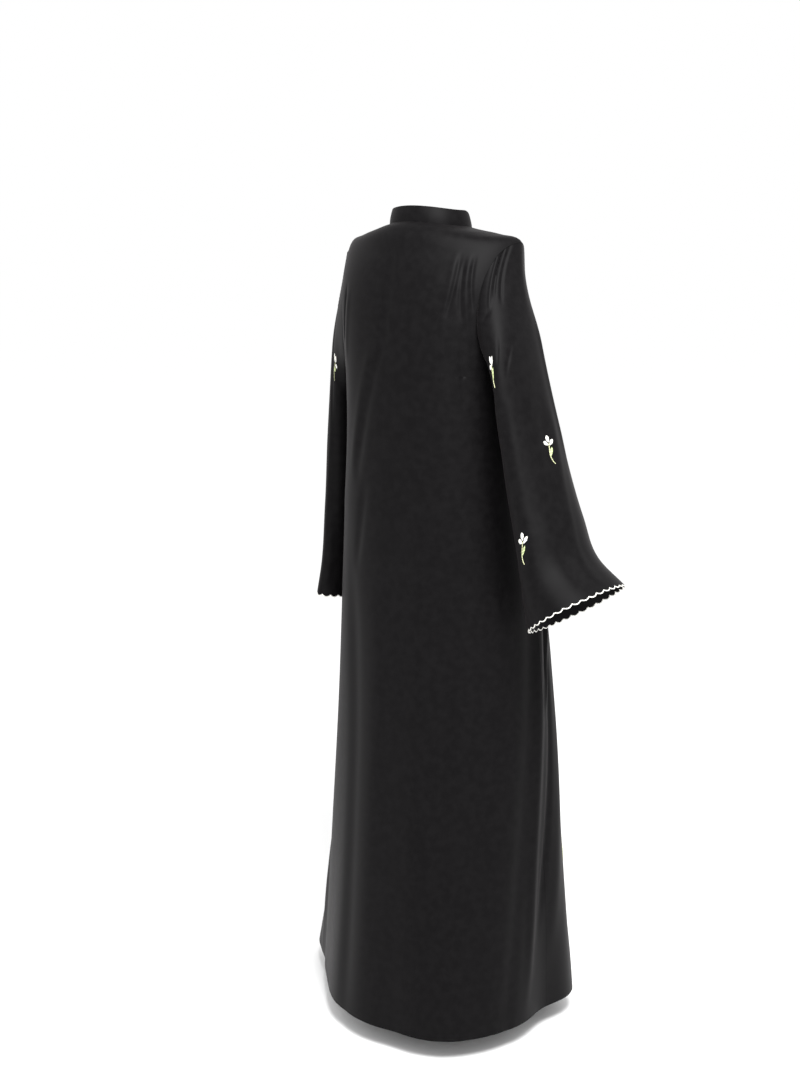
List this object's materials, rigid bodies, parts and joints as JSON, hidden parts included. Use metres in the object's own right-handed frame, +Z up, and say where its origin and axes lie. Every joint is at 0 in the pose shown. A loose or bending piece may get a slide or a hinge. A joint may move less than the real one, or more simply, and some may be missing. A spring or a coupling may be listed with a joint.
{
  "type": "abaya cloak",
  "caption": "Long black abaya cloak in its worn hollow form, with a band collar, wide bell sleeves, white scalloped cuffs and embroidered leaf sprigs.",
  "frame": {"origin": "middle of the neck opening, at the height where the shoulders carry the cloak", "axes": "+Z up, -Y towards the front of the cloak, -X towards the wearer's right"},
  "size_m": [0.7259, 0.4391, 1.4763],
  "materials": {
    "black_crepe": "soft satin-backed crepe, matt with a low sheen",
    "white_thread": "satin-stitched thread",
    "green_thread": "satin-stitched thread"
  },
  "bodies": {
    "root": {"back_panel": "black_crepe", "front_left": "black_crepe", "front_right": "black_crepe", "sleeve_left": "black_crepe", "sleeve_right": "black_crepe", "collar_stand": "black_crepe", "scallop_left": "white_thread", "scallop_right": "white_thread"}
  },
  "joints": []
}
